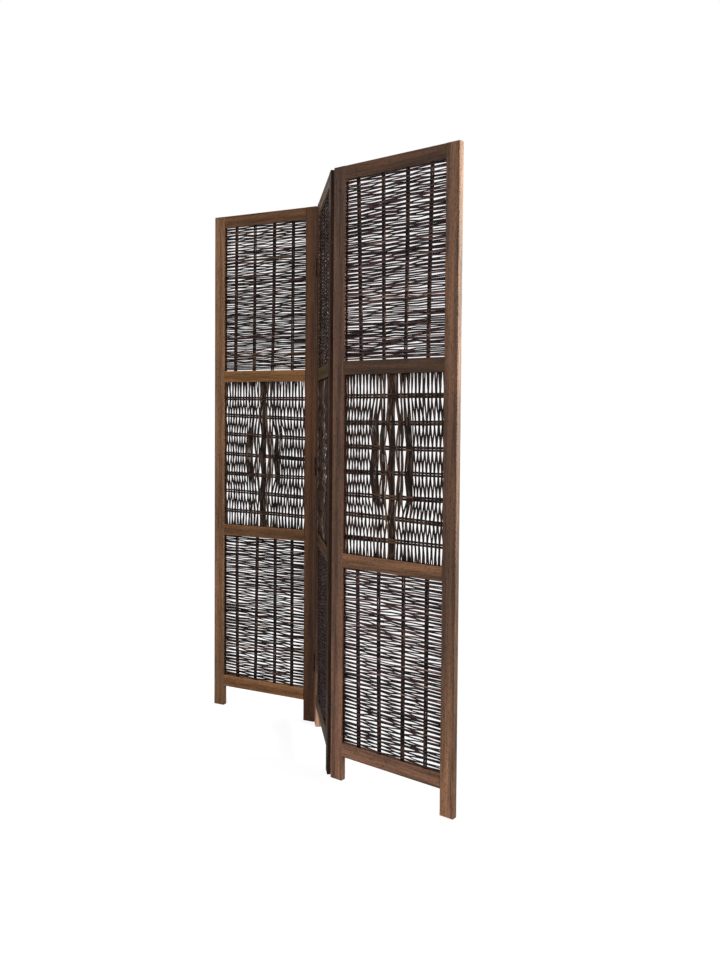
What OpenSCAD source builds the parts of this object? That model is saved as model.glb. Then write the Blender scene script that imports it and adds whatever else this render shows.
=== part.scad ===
// Folding screen of three wooden frames, each filled with woven withies.
// The origin is on the floor, in the middle of the standing screen's footprint.
// +Z is up and the front faces -Y.

/* [Frames] */
// Height of each panel, from the floor to the top of its frame
panel_h = 1700; // [1600:10:1900]
// Width of each panel
panel_w = 400; // [380:5:460]
// Thickness of the stiles and rails, front to back
frame_t = 18; // [16:0.5:24]
// Width of each upright stile
stile_w = 40; // [36:1:50]
// Height of each cross rail
rail_h = 38; // [36:1:50]
// Height of the gap under the bottom rail, between the feet
foot_h = 68; // [40:2:120]
// Chamfer along the long edges of the stiles and rails
edge_chamfer = 1.2; // [0.5:0.1:2]

/* [Grooves and dowels] */
// Depth of the grooves that hold the ends of the rods and withies
groove_d = 8; // [5:0.5:9]
// Clearance between a groove's bottom and the ends seated in it
seat_clear = 0.3; // [0.2:0.1:0.6]
// Clearance on each side of a rod's end in its groove
groove_side_clear = 0.5; // [0.3:0.1:0.8]
// Diameter of the dowels that join the rails to the stiles
dowel_d = 6; // [4:0.5:6]
// Length of each dowel
dowel_len = 40; // [30:1:44]
// Distance between the two dowels at each end of a rail
dowel_spacing = 12; // [10:0.5:12]
// Clearance around each dowel
dowel_clear = 0.05; // [0.03:0.01:0.1]

/* [Woven fields] */
// Diameter of the rods
rod_d = 5.8; // [4:0.1:6]
// Clearance between a rod and what is woven round it
weave_clear = 0.25; // [0.2:0.05:0.5]
// Thickness of a withy, front to back
withy_t = 3.2; // [2.4:0.1:3.6]
// Width of the withies that run across the upper and lower fields
cross_withy_w = 4.5; // [3.6:0.1:4.7]
// Gap between those withies
cross_withy_gap = 0.75; // [0.5:0.05:1.5]
// Distance between the rod pairs of the upper and lower fields
upright_pair_spacing = 75; // [60:1:78]
// Clear distance between the two rods of those pairs
upright_pair_gap = 0.6; // [0.4:0.1:3]
// Sideways shift of the rod pairs in the left panel's lower field
left_low_shift = 3; // [-12:0.5:12]
// Sideways shift of the rod pairs in the left panel's upper field
left_top_shift = -5; // [-12:0.5:12]
// Width of the withies that stand in the middle field
upright_withy_w = 5.1; // [4.4:0.1:5.2]
// Gap between those withies where they stand evenly
upright_withy_gap = 0.75; // [0.6:0.05:1.6]
// Distance between the rod pairs of the middle field
cross_pair_spacing = 64; // [56:1:66]
// Clear distance between the two rods of those pairs
cross_pair_gap = 0.6; // [0.4:0.1:3]
// Height of the lowest of those pairs above the lower middle rail
cross_pair_rise = 49; // [36:1:56]

/* [Gathered figure] */
// Withies in each of the figure's five bundles
bundle_count = 4; // [2:1:5]
// Gap between the withies of a bundle where they are gathered
bundle_clear = 0.3; // [0.1:0.05:0.4]
// Gap between neighbouring bundles where the figure stands open
bundle_gap = 6; // [4:0.5:6.5]
// Gap between the outer bundles and the withies beside them there
figure_side_gap = 0.9; // [0.4:0.1:1.6]
// Lowest rod pair at which the figure stands open, counted from 0 at the bottom
figure_first_pair = 2; // [1:1:3]
// Number of rod pairs over which it stands open
figure_pairs = 3; // [2:1:4]
// Number of rod pairs over which it stands open in the right panel
right_figure_pairs = 4; // [2:1:4]

/* [Hinges] */
// Length of each hinge
hinge_len = 60; // [45:1:75]
// Distance of the end hinges' middles from the panel's top and foot
hinge_inset = 200; // [150:5:300]
// Width of a leaf over the stile's edge
leaf_w = 15; // [13:0.5:16]
// Thickness of a leaf
leaf_t = 1.2; // [1:0.1:1.5]
// Gap between the two leaves when the panels stand in line
leaf_gap = 0.4; // [0.3:0.1:1]
// Outer diameter of the knuckles
knuckle_d = 6; // [5.2:0.2:8]
// Gap between neighbouring knuckles
knuckle_gap = 0.4; // [0.3:0.1:0.8]
// Gap between the knuckles and the faces of the folded panels
knuckle_clear = 0.4; // [0.3:0.1:1]
// Diameter of the hinge pin
pin_d = 2.9; // [2.4:0.1:3.2]
// Running clearance between the pin and its bore
pin_clear = 0.05; // [0.02:0.01:0.1]
// Diameter of the pin's heads
pin_head_d = 5; // [4:0.2:5]
// Height of the pin's heads
pin_head_h = 1.2; // [0.8:0.1:2]
// Diameter of a screw's shank
screw_d = 2.6; // [2:0.1:3]
// Diameter of a screw's head
screw_head_d = 5.2; // [4.6:0.1:6]
// Length of each screw
screw_len = 15; // [10:0.5:16]
// Distance between neighbouring screws of a leaf
screw_spacing = 20; // [14:0.5:22]
// Clearance around a screw
screw_clear = 0.05; // [0.03:0.01:0.1]

/* [Standing pose] */
// Angle of the left panel away from standing in line
left_fold_angle = 56.2; // [20:0.1:90]
// Angle of the right panel away from standing in line
right_fold_angle = 44.5; // [20:0.1:90]
// Turn of the middle panel about the vertical
middle_turn = -34; // [-60:0.1:0]

/* [Hidden] */

walnut = "#76523a";
golden_walnut = "#7a532d";
bare_beech = "#b08d62";
rod_bark = "#3a2a1d";
bark = "#2b2019";
brown_bark = "#35231a";
leaf_bronze = "#4a3a2a";
pin_bronze = "#6b5a45";
screw_bronze = "#8a7a60";

round_fn = 48;
rod_fn = 8;
// a cut reaches this far past the surface that it opens
past = 1;

// openings between the stiles and rails, in the panel's own frame: x from its middle, z from the floor
open_w = panel_w - 2 * stile_w;
open_h = (panel_h - foot_h - 4 * rail_h) / 3;
function rail_z(n) = foot_h + n * (open_h + rail_h);
function open_z(n) = rail_z(n) + rail_h;
groove_w = rod_d + 2 * groove_side_clear;
seat_len = groove_d - seat_clear;

// How far a woven piece of thickness t stands off the rods' plane over the middle of a pair,
// so that it clears both rods while it runs straight from each pair to the next
function weave_depth(t, gap, spacing) =
    (rod_d / 2 + weave_clear + t / 2) / (1 - (gap + rod_d) / spacing);

// as many pairs as the openings have room for
upright_pair_count = floor((open_w - upright_pair_gap - 2 * rod_d) / upright_pair_spacing);
upright_pairs = [for (k = [0:upright_pair_count - 1])
    (k - (upright_pair_count - 1) / 2) * upright_pair_spacing];
cross_pair_count = floor((open_h - cross_pair_rise - cross_pair_gap - 2 * rod_d) / cross_pair_spacing) + 1;
cross_pairs = [for (k = [0:cross_pair_count - 1]) cross_pair_rise + k * cross_pair_spacing];

function alternate(k) = k % 2 == 0 ? 1 : -1;
// Way of a woven piece: [distance along it, offset from the rods' plane] at its ends and over each pair
function woven_way(low, high, pairs, offsets) = concat(
    [[low, 0]],
    [for (k = [0:len(pairs) - 1]) [pairs[k], offsets[k]]],
    [[high, 0]]
);
// A way without the points that lie straight between their neighbours
function bends(way) = [
    for (k = [0:len(way) - 1])
    if (k == 0 || k == len(way) - 1 || abs(cross(way[k] - way[k - 1], way[k + 1] - way[k])) > 0.001)
    way[k]
];
// Outline of a woven piece of thickness t, seen from its side
function woven_outline(way, t) = concat(
    [for (p = way) [p.x, p.y - t / 2]],
    [for (k = [len(way) - 1:-1:0]) [way[k].x, way[k].y + t / 2]]
);

// Standing places of the panels
axis_x = panel_w / 2 + leaf_t + leaf_gap / 2;
axis_y = frame_t / 2 + knuckle_clear + knuckle_d / 2;
function turned(p, a) = [p.x * cos(a) - p.y * sin(a), p.x * sin(a) + p.y * cos(a)];
left_axis = turned([-axis_x, -axis_y], middle_turn);
right_axis = turned([axis_x, axis_y], middle_turn);
left_turn = middle_turn + left_fold_angle;
right_turn = middle_turn + right_fold_angle;
left_place = left_axis - turned([axis_x, -axis_y], left_turn);
right_place = right_axis - turned([-axis_x, axis_y], right_turn);
panel_section = [for (sx = [-1, 1]) for (sy = [-1, 1]) for (c = [[0, edge_chamfer], [edge_chamfer, 0]])
    [sx * (panel_w / 2 - c.x), sy * (frame_t / 2 - c.y)]];
footprint = [
    for (s = [[left_turn, left_place], [middle_turn, [0, 0]], [right_turn, right_place]])
    for (p = panel_section) s[1] + turned(p, s[0])
];
foot_xs = [for (p = footprint) p.x];
foot_ys = [for (p = footprint) p.y];
origin_shift = -[(min(foot_xs) + max(foot_xs)) / 2, (min(foot_ys) + max(foot_ys)) / 2];

echo(left_axis = left_axis + origin_shift);
echo(right_axis = right_axis + origin_shift);
echo(left_place = left_place + origin_shift, middle_place = origin_shift,
     right_place = right_place + origin_shift);

module place_left() translate(left_place + origin_shift) rotate(left_turn) children();
module place_middle() translate(origin_shift) rotate(middle_turn) children();
module place_right() translate(right_place + origin_shift) rotate(right_turn) children();

// ---- frame pieces ----

// Rectangle with its four corners cut off
module chamfered(a, b) {
    c = edge_chamfer;
    polygon([
        [c, 0], [a - c, 0], [a, c], [a, b - c], [a - c, b], [c, b], [0, b - c], [0, c]
    ]);
}

hinge_zs = [hinge_inset, panel_h / 2, panel_h - hinge_inset];
leaf_mid_y = frame_t / 2 - leaf_w / 2;
screw_zs = [for (h = hinge_zs) for (s = [-1, 0, 1]) h + s * screw_spacing];
dowel_half = dowel_len / 2;

// One stile, with its inner edge on +X; hinge_side is 0, or the y direction of its hinges' knuckles
module stile(hinge_side = 0) difference() {
    translate([-panel_w / 2, -frame_t / 2, 0])
        linear_extrude(panel_h) chamfered(stile_w, frame_t);
    inner_x = -panel_w / 2 + stile_w;
    for (n = [0:2])
        translate([inner_x - groove_d, -groove_w / 2, open_z(n)])
            cube([groove_d + past, groove_w, open_h]);
    for (n = [0:3]) for (s = [-0.5, 0.5])
        translate([inner_x - dowel_half, 0, rail_z(n) + rail_h / 2 + s * dowel_spacing])
            rotate([0, 90, 0])
            cylinder(d = dowel_d + 2 * dowel_clear, h = dowel_half + past, $fn = round_fn);
    if (hinge_side != 0) for (z = screw_zs)
        translate([-panel_w / 2 - past, hinge_side * leaf_mid_y, z])
            rotate([0, 90, 0])
            cylinder(d = screw_d + 2 * screw_clear, h = screw_len + past, $fn = round_fn);
}

// One rail at row n, grooved above and below where there is an opening
module rail(n) difference() {
    translate([-open_w / 2, 0, rail_z(n)])
        rotate([90, 0, 90])
        translate([-frame_t / 2, 0])
        linear_extrude(open_w) chamfered(frame_t, rail_h);
    if (n < 3)
        translate([-open_w / 2, -groove_w / 2, rail_z(n) + rail_h - groove_d])
            cube([open_w, groove_w, groove_d + past]);
    if (n > 0)
        translate([-open_w / 2, -groove_w / 2, rail_z(n) - past])
            cube([open_w, groove_w, groove_d + past]);
    for (e = [0, 1]) mirror([e, 0, 0]) for (s = [-0.5, 0.5])
        translate([-open_w / 2 - past, 0, rail_z(n) + rail_h / 2 + s * dowel_spacing])
            rotate([0, 90, 0])
            cylinder(d = dowel_d + 2 * dowel_clear, h = dowel_half + past, $fn = round_fn);
}

module dowels()
    for (e = [0, 1]) mirror([e, 0, 0]) for (n = [0:3]) for (s = [-0.5, 0.5])
        translate([-open_w / 2 - dowel_half + seat_clear, 0, rail_z(n) + rail_h / 2 + s * dowel_spacing])
            rotate([0, 90, 0])
            cylinder(d = dowel_d, h = dowel_len - 2 * seat_clear, $fn = round_fn);

// ---- woven fields ----

// Pairs of standing rods in the opening above rail n, moved sideways by shift
module upright_rods(n, shift = 0)
    for (x = upright_pairs) for (s = [-0.5, 0.5])
        translate([shift + x + s * (upright_pair_gap + rod_d), 0, open_z(n) - seat_len])
            cylinder(d = rod_d, h = open_h + 2 * seat_len, $fn = rod_fn);

// Withies across the opening above rail n, each on the other side of the rods from its neighbours
module cross_withies(n, shift = 0) {
    pitch = cross_withy_w + cross_withy_gap;
    count = floor((open_h - cross_withy_gap) / pitch);
    low = (open_h - (count - 1) * pitch) / 2;
    reach = open_w / 2 + seat_len;
    pairs = [for (x = upright_pairs) x + shift];
    depth = weave_depth(withy_t, upright_pair_gap, upright_pair_spacing);
    for (k = [0:count - 1]) {
        offsets = [for (n = [0:len(pairs) - 1]) alternate(k + n) * depth];
        translate([0, 0, open_z(n) + low + k * pitch - cross_withy_w / 2])
            linear_extrude(cross_withy_w)
            polygon(woven_outline(woven_way(-reach, reach, pairs, offsets), withy_t));
    }
}

// Pairs of rods across the middle opening
module cross_rods()
    for (z = cross_pairs) for (s = [-0.5, 0.5])
        translate([-open_w / 2 - seat_len, 0, open_z(1) + z + s * (cross_pair_gap + rod_d)])
            rotate([0, 90, 0])
            cylinder(d = rod_d, h = open_w + 2 * seat_len, $fn = rod_fn);

// ---- standing withies of the middle opening ----
// Each runs the whole height and most pass the rods by turns in front and behind. The figure is five
// bundles, each of which passes the rods as one where it is gathered: the middle one from end to end,
// the others where the figure stands open. There they part, and the withies beside them close up.
// j counts the withies outwards from the middle bundle, k the rod pairs upwards, and span holds the
// first and last pair at which the figure stands open.

upright_pitch = upright_withy_w + upright_withy_gap;
side_count = floor((open_w - upright_withy_gap - bundle_count * upright_pitch) / (2 * upright_pitch));
bundle_pitch = upright_withy_w + bundle_clear;
bundle_w = bundle_count * bundle_pitch - bundle_clear;
bundle_spacing = bundle_w + bundle_gap;
figure_span = [figure_first_pair, figure_first_pair + figure_pairs - 1];
right_span = [figure_first_pair, figure_first_pair + right_figure_pairs - 1];

// The inner bundles are number 1 and the outer ones 2; the withies beside the figure have 3
function bundle_of(j) = min(3, floor(j / bundle_count) + 1);
function stands_open(k, span) = k >= span[0] && k <= span[1];
// The first and last of the withies beside the open figure
beside_first = 2 * bundle_spacing + bundle_w / 2 + figure_side_gap + upright_withy_w / 2;
beside_last = (bundle_count / 2 + side_count - 0.5) * upright_pitch;
beside_pitch = (beside_last - beside_first) / (side_count - 1 - 2 * bundle_count);
function withy_x(j, k, span) =
    let (b = bundle_of(j), n = j % bundle_count - (bundle_count - 1) / 2, open = stands_open(k, span))
    b < 3
        ? b * (open ? bundle_spacing : bundle_count * upright_pitch)
            + n * (open ? bundle_pitch : upright_pitch)
        : open
            ? beside_last - (side_count - 1 - j) * beside_pitch
            : (bundle_count / 2 + j + 0.5) * upright_pitch;
function withy_side(j, k, span) =
    let (b = bundle_of(j))
    alternate(k) * alternate(b < 3 && stands_open(k, span) ? b : j);

// Solid of an outline seen along X, w wide and centred on x
module across(x, w, outline)
    translate([x + w / 2, 0, open_z(1)])
        rotate([0, -90, 0])
        linear_extrude(w) polygon(outline);

// Withy that is at xs at its ends and over the pairs, and on the given sides of the pairs
module standing_withy(xs, sides) {
    depth = weave_depth(withy_t, cross_pair_gap, cross_pair_spacing);
    way = woven_way(-seat_len, open_h + seat_len, cross_pairs, depth * sides);
    from_side = woven_outline(bends(way), withy_t);
    course = bends([for (k = [0:len(way) - 1]) [way[k].x, xs[k]]]);
    from_front = [for (p = woven_outline(course, upright_withy_w)) [p.y, p.x]];
    if (len(course) == 2) across(xs[0], upright_withy_w, from_side);
    else intersection() {
        across((min(xs) + max(xs)) / 2, max(xs) - min(xs) + 2 * upright_withy_w, from_side);
        translate([0, frame_t / 2, open_z(1)])
            rotate([90, 0, 0])
            linear_extrude(frame_t) polygon(from_front);
    }
}

// Withies number first to last on both sides of the middle bundle
module withies_of_both_sides(first, last, span)
    for (e = [-1, 1]) for (j = [first:last])
        standing_withy(
            [for (k = [-1:cross_pair_count]) e * withy_x(j, k, span)],
            [for (k = [0:cross_pair_count - 1]) withy_side(j, k, span)]);

module beside_withies(span) withies_of_both_sides(2 * bundle_count, side_count - 1, span);

module bundles(span) {
    for (n = [0:bundle_count - 1])
        standing_withy(
            [for (k = [-1:cross_pair_count]) (n - (bundle_count - 1) / 2) * bundle_pitch],
            [for (k = [0:cross_pair_count - 1]) alternate(k)]);
    withies_of_both_sides(0, 2 * bundle_count - 1, span);
}

// ---- hinges ----

knuckle_len = (hinge_len - 2 * knuckle_gap) / 3;
pin_bore_d = pin_d + 2 * pin_clear;
// screws sit with their heads level with the leaf
screw_head_h = leaf_t;

module screw_shape(clear) {
    cylinder(d = screw_d + 2 * clear, h = screw_len, $fn = round_fn);
    cylinder(d1 = screw_head_d + 2 * clear, d2 = screw_d + 2 * clear, h = screw_head_h, $fn = round_fn);
}

// Hinge leaf on a panel's right edge with its knuckles at the front, its middle at height z.
// With ends true it has the two end knuckles, otherwise the one between them.
module leaf(z, ends) {
    x0 = panel_w / 2;
    ks = ends ? [-1, 1] : [0];
    difference() {
        union() {
            translate([x0, -frame_t / 2, z - hinge_len / 2])
                cube([leaf_t, leaf_w, hinge_len]);
            for (k = ks) translate([0, 0, z + k * (knuckle_len + knuckle_gap) - knuckle_len / 2]) {
                translate([x0, -axis_y, 0]) cube([leaf_t, axis_y - frame_t / 2 + past, knuckle_len]);
                translate([axis_x, -axis_y, 0]) cylinder(d = knuckle_d, h = knuckle_len, $fn = round_fn);
            }
        }
        translate([axis_x, -axis_y, z - hinge_len / 2 - past])
            cylinder(d = pin_bore_d, h = hinge_len + 2 * past, $fn = round_fn);
        for (s = [-1, 0, 1])
            translate([x0 + leaf_t, -leaf_mid_y, z + s * screw_spacing])
                rotate([0, -90, 0]) screw_shape(screw_clear);
    }
}

module leaves(ends) for (z = hinge_zs) leaf(z, ends);

module leaf_screws()
    for (z = screw_zs)
        translate([panel_w / 2 + leaf_t, -leaf_mid_y, z])
            rotate([0, -90, 0]) screw_shape(0);

// Pins that stand on the end knuckles of a middle panel's leaves
module pins() {
    head_gap = pin_clear;
    for (z = hinge_zs) translate([axis_x, -axis_y, z]) {
        cylinder(d = pin_d, h = hinge_len + 2 * head_gap, center = true, $fn = round_fn);
        for (e = [0, 1]) mirror([0, 0, e])
            translate([0, 0, hinge_len / 2 + head_gap])
            cylinder(d = pin_head_d, h = pin_head_h, $fn = round_fn);
    }
}

// The middle panel's edges, seen as a right edge with its knuckles in front
module middle_left_edge() place_middle() mirror([1, 0, 0]) children();
module middle_right_edge() place_middle() mirror([0, 1, 0]) children();
// The right panel's hinged edge, seen as a right edge with its knuckles in front
module right_edge() place_right() mirror([1, 0, 0]) mirror([0, 1, 0]) children();

color(walnut) place_left() stile();  // left_stile_outer
color(walnut) place_left() mirror([1, 0, 0]) stile(-1);  // left_stile_hinged
color(golden_walnut) place_left() rail(0);  // left_bottom_rail
color(golden_walnut) place_left() rail(1);  // left_lower_mid_rail
color(golden_walnut) place_left() rail(2);  // left_upper_mid_rail
color(golden_walnut) place_left() rail(3);  // left_top_rail
color(bare_beech) place_left() dowels();  // left_dowels
color(rod_bark) place_left() upright_rods(0, left_low_shift);  // left_lower_rods
color(bark) place_left() cross_withies(0, left_low_shift);  // left_lower_withies
color(rod_bark) place_left() cross_rods();  // left_middle_rods
color(bark) place_left() beside_withies(figure_span);  // left_middle_withies
color(brown_bark) place_left() bundles(figure_span);  // left_middle_bundles
color(rod_bark) place_left() upright_rods(2, left_top_shift);  // left_upper_rods
color(bark) place_left() cross_withies(2, left_top_shift);  // left_upper_withies

color(walnut) place_middle() stile(-1);  // middle_stile_left
color(walnut) place_middle() mirror([1, 0, 0]) stile(1);  // middle_stile_right
color(golden_walnut) place_middle() rail(0);  // middle_bottom_rail
color(golden_walnut) place_middle() rail(1);  // middle_lower_mid_rail
color(golden_walnut) place_middle() rail(2);  // middle_upper_mid_rail
color(golden_walnut) place_middle() rail(3);  // middle_top_rail
color(bare_beech) place_middle() dowels();  // middle_dowels
color(rod_bark) place_middle() upright_rods(0);  // middle_lower_rods
color(bark) place_middle() cross_withies(0);  // middle_lower_withies
color(rod_bark) place_middle() cross_rods();  // middle_middle_rods
color(bark) place_middle() beside_withies(figure_span);  // middle_middle_withies
color(brown_bark) place_middle() bundles(figure_span);  // middle_middle_bundles
color(rod_bark) place_middle() upright_rods(2);  // middle_upper_rods
color(bark) place_middle() cross_withies(2);  // middle_upper_withies

color(walnut) place_right() stile(1);  // right_stile_hinged
color(walnut) place_right() mirror([1, 0, 0]) stile();  // right_stile_outer
color(golden_walnut) place_right() rail(0);  // right_bottom_rail
color(golden_walnut) place_right() rail(1);  // right_lower_mid_rail
color(golden_walnut) place_right() rail(2);  // right_upper_mid_rail
color(golden_walnut) place_right() rail(3);  // right_top_rail
color(bare_beech) place_right() dowels();  // right_dowels
color(rod_bark) place_right() upright_rods(0);  // right_lower_rods
color(bark) place_right() cross_withies(0);  // right_lower_withies
color(rod_bark) place_right() cross_rods();  // right_middle_rods
color(bark) place_right() beside_withies(right_span);  // right_middle_withies
color(brown_bark) place_right() bundles(right_span);  // right_middle_bundles
color(rod_bark) place_right() upright_rods(2);  // right_upper_rods
color(bark) place_right() cross_withies(2);  // right_upper_withies

color(leaf_bronze) place_left() leaves(false);  // left_hinge_outer_leaves
color(leaf_bronze) middle_left_edge() leaves(true);  // left_hinge_middle_leaves
color(pin_bronze) middle_left_edge() pins();  // left_hinge_pins
color(screw_bronze) place_left() leaf_screws();  // left_hinge_outer_screws
color(screw_bronze) middle_left_edge() leaf_screws();  // left_hinge_middle_screws
color(leaf_bronze) right_edge() leaves(false);  // right_hinge_outer_leaves
color(leaf_bronze) middle_right_edge() leaves(true);  // right_hinge_middle_leaves
color(pin_bronze) middle_right_edge() pins();  // right_hinge_pins
color(screw_bronze) right_edge() leaf_screws();  // right_hinge_outer_screws
color(screw_bronze) middle_right_edge() leaf_screws();  // right_hinge_middle_screws
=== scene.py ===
"""Dresses the three-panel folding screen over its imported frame.

The stiles, rails, dowels, hinges and screws keep their built shapes and get their finishes
here. Everything woven is grown again from the same sizes, one object for each node, as bent
and tapered willow. Lengths are metres, +Z is up and the screen's front faces -Y.
"""

import logging
import math
from dataclasses import dataclass
from enum import Enum

import bpy
import numpy as np
from bpy.types import Material, Node, NodeSocket, NodeTree, Object, World
from mathutils import Matrix, Vector


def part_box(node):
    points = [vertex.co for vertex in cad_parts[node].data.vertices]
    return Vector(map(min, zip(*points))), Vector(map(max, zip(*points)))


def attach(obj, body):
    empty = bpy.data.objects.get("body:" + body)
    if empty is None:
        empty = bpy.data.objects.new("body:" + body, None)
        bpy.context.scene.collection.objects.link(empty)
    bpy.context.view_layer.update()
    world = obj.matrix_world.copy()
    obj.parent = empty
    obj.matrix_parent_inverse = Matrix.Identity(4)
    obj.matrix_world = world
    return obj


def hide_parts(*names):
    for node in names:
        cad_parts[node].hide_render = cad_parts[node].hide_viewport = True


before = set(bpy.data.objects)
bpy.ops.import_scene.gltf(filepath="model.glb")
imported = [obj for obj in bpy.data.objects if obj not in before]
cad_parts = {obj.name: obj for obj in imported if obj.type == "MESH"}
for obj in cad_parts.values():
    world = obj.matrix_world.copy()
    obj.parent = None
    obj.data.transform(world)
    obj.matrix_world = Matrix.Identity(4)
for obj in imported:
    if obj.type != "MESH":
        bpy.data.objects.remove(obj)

MM = 0.001
UP = np.array([0.0, 0.0, 1.0])
RIGHT = np.array([1.0, 0.0, 0.0])
WHITE = (1.0, 1.0, 1.0, 1.0)
log = logging.getLogger("folding_screen")

Colour = tuple[float, float, float, float]
Pair = tuple[float, float]
Triple = tuple[float, float, float]
Floats = tuple[float, ...]
Names = tuple[str, ...]
Sockets = dict[str | int, object]
Outputs = bpy.types.bpy_prop_collection


def tint(red: int, green: int, blue: int, shade: float = 1.0) -> Colour:
    """Turns a given colour into the linear values that shaders take.

    Args:
        red: Its red, 0 to 255.
        green: Its green, 0 to 255.
        blue: Its blue, 0 to 255.
        shade: Factor that makes it lighter or darker.

    Returns:
        The linear colour with full alpha.
    """
    seen = np.array([red, green, blue]) / 255.0
    linear = np.where(seen <= 0.04045, seen / 12.92, ((seen + 0.055) / 1.055) ** 2.4)
    return (*(linear * shade).tolist(), 1.0)


def middle_of(node: str) -> Vector:
    """Gives the middle of a built node's box."""
    low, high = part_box(node)
    return (low + high) / 2


class Wing(Enum):
    """The three panels, by the name that their nodes start with."""

    LEFT = "left"
    MIDDLE = "middle"
    RIGHT = "right"


class Bay(Enum):
    """The three openings of a panel: its name in the nodes, and the rails below and above."""

    LOWER = ("lower", "bottom_rail", "lower_mid_rail")
    MIDDLE = ("middle", "lower_mid_rail", "upper_mid_rail")
    UPPER = ("upper", "upper_mid_rail", "top_rail")


class Willow(Enum):
    """The kinds of woven node: the end of its name, and its slot."""

    RODS = ("rods", "willow_rod")
    WITHIES = ("withies", "willow_withy")
    BUNDLES = ("bundles", "bundled_willow")


# bundles are numbered 0 for the middle one, 1 for the inner and 2 for the outer ones
GATHERED = (0, 1, 2)
LOOSE = 3


# ---- sizes that the whole screen shares ----


@dataclass(frozen=True)
class FrameSizes:
    """Sizes of the wooden frames."""

    panel_h: float = 1700 * MM
    panel_w: float = 400 * MM
    frame_t: float = 18 * MM
    stile_w: float = 40 * MM
    rail_h: float = 38 * MM
    seat_len: float = 7.7 * MM

    @property
    def open_w(self) -> float:
        """Clear width between the stiles."""
        return self.panel_w - 2 * self.stile_w

    @property
    def reach(self) -> float:
        """How far from the panel's middle line the willow ends in its grooves."""
        return self.open_w / 2 + self.seat_len


@dataclass(frozen=True)
class WillowSizes:
    """Sizes of the rods and withies, and how they grow.

    taper is how much thicker a length's butt and thinner its tip is than its middle, lumps is
    how much its thickness wavers, own_sizes are the least and the most that a length's own
    size may be, and rod_spread is how far the rods' sizes differ, all as shares.
    """

    rod_d: float = 5.8 * MM
    snug: float = 0.12 * MM
    withy_t: float = 3.2 * MM
    cross_withy_w: float = 4.5 * MM
    cross_withy_gap: float = 0.75 * MM
    upright_pair_spacing: float = 75 * MM
    upright_pair_gap: float = 0.6 * MM
    upright_pair_count: int = 4
    upright_withy_w: float = 5.1 * MM
    upright_withy_gap: float = 0.75 * MM
    cross_pair_spacing: float = 64 * MM
    cross_pair_gap: float = 0.6 * MM
    cross_pair_rise: float = 49 * MM
    cross_pair_count: int = 7
    taper: float = 0.11
    lumps: float = 0.03
    own_sizes: Pair = (0.72, 1.16)
    rod_spread: float = 0.03

    @property
    def upright_pitch(self) -> float:
        """Distance between the standing withies where they stand evenly."""
        return self.upright_withy_w + self.upright_withy_gap


@dataclass(frozen=True)
class FigureSizes:
    """Sizes of the figure: five bundles of gathered withies in the middle opening.

    leaning_fan is the share of its spread that a withy keeps where it moves sideways by
    upright_within or more from one rod pair to the next. tones are the ranges of the middle,
    inner and outer bundles' tones. The last four have a value each for these bundles and for
    the loose withies: how far apart they spread halfway between two pairs, how much they
    stray from pair to pair, how much they waver between pairs, and how wide they are against
    the usual width.
    """

    bundle_count: int = 4
    bundle_clear: float = 0.3 * MM
    bundle_gap: float = 6 * MM
    side_gap: float = 0.9 * MM
    upright_within: float = 2 * MM
    leaning_fan: float = 0.25
    tones: tuple[Pair, Pair, Pair] = ((0.0, 0.5), (0.5, 1.0), (0.0, 0.5))
    fans: Floats = (0.1 * MM, 1.1 * MM, 0.25 * MM, 0.0)
    strays: Floats = (0.45, 2.0, 0.5, 1.0)
    wavers: Floats = (0.45, 0.8, 0.45, 1.0)
    widths: Floats = (1.32, 1.2, 1.34, 1.1)

    @property
    def bundle_pitch(self) -> float:
        """Distance between neighbouring withies of a gathered bundle."""
        return WILLOW.upright_withy_w + self.bundle_clear

    @property
    def bundle_w(self) -> float:
        """Width of a gathered bundle."""
        return self.bundle_count * self.bundle_pitch - self.bundle_clear

    @property
    def bundle_spacing(self) -> float:
        """Distance between neighbouring bundles where the figure stands open."""
        return self.bundle_w + self.bundle_gap

    @property
    def side_count(self) -> int:
        """Withies on each side of the middle bundle."""
        room = FRAME.open_w - WILLOW.upright_withy_gap - self.bundle_count * WILLOW.upright_pitch
        return int(room // (2 * WILLOW.upright_pitch))


FRAME = FrameSizes()
WILLOW = WillowSizes()
FIGURE = FigureSizes()


# ---- places ----


@dataclass(frozen=True)
class Standing:
    """Where one panel stands: its turn about the vertical and its middle line on the floor."""

    wing: Wing
    turn: float
    middle: Pair

    @classmethod
    def of(cls, wing: Wing, degrees: float) -> "Standing":
        """Reads a panel's middle line from its top rail, which is the same either side of it."""
        centre = middle_of(f"{wing.value}_top_rail")
        return cls(wing, math.radians(degrees), (centre.x, centre.y))

    @property
    def body(self) -> str:
        """Name of the body that the panel's pieces ride on."""
        return f"{self.wing.value}_panel"

    def stand(self, points: np.ndarray) -> np.ndarray:
        """Turns points about the vertical and sets them in place.

        Args:
            points: Points of the panel's own frame: x across, y towards its back and z up.

        Returns:
            The points in the screen's frame.
        """
        c, s = math.cos(self.turn), math.sin(self.turn)
        x, y, z = points[..., 0], points[..., 1], points[..., 2]
        return np.stack([c * x - s * y + self.middle[0], s * x + c * y + self.middle[1], z], -1)

    def lay(self) -> Matrix:
        """Gives the turn and shift that bring the screen's frame back to the panel's own."""
        turned = Matrix.Rotation(-self.turn, 4, "Z")
        return turned @ Matrix.Translation(Vector((-self.middle[0], -self.middle[1], 0)))


# ---- shapes ----


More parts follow.
